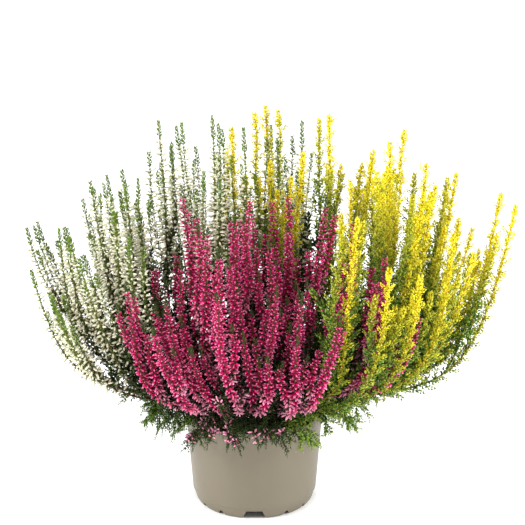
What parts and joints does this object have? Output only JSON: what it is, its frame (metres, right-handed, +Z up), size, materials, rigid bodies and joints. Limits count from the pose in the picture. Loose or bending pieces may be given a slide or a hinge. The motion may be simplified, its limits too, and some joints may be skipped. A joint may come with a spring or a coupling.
{
  "type": "potted heather",
  "caption": "Bushy heather with white, pink and yellow shoots fanning out of a round tapered nursery pot with a notched foot.",
  "frame": {"origin": "centre of the whole object's bounding box, at the floor", "axes": "+X to the right across the widest spread of the bush, -Y towards the front where the pink plant stands, +Z up"},
  "size_m": [0.4086, 0.2808, 0.3422],
  "materials": {
    "pot_plastic": "matte",
    "peat_soil": "rough",
    "pink_heather": "matte",
    "white_heather": "matte",
    "yellow_heather": "matte"
  },
  "bodies": {
    "root": {"pot": "pot_plastic", "soil": "peat_soil", "heather_pink_01": "pink_heather", "heather_pink_02": "pink_heather", "heather_pink_03": "pink_heather", "heather_pink_04": "pink_heather", "heather_pink_05": "pink_heather", "heather_pink_06": "pink_heather", "heather_pink_07": "pink_heather", "heather_pink_08": "pink_heather", "heather_pink_09": "pink_heather", "heather_pink_10": "pink_heather", "heather_pink_11": "pink_heather", "heather_pink_12": "pink_heather", "heather_white_01": "white_heather", "heather_white_02": "white_heather", "heather_white_03": "white_heather", "heather_white_04": "white_heather", "heather_white_05": "white_heather", "heather_white_06": "white_heather", "heather_white_07": "white_heather", "heather_white_08": "white_heather", "heather_white_09": "white_heather", "heather_white_10": "white_heather", "heather_white_11": "white_heather", "heather_white_12": "white_heather", "heather_white_13": "white_heather", "heather_white_14": "white_heather", "heather_yellow_01": "yellow_heather", "heather_yellow_02": "yellow_heather", "heather_yellow_03": "yellow_heather", "heather_yellow_04": "yellow_heather", "heather_yellow_05": "yellow_heather", "heather_yellow_06": "yellow_heather", "heather_yellow_07": "yellow_heather", "heather_yellow_08": "yellow_heather", "heather_yellow_09": "yellow_heather", "heather_yellow_10": "yellow_heather", "heather_yellow_11": "yellow_heather", "heather_yellow_12": "yellow_heather"}
  },
  "joints": []
}
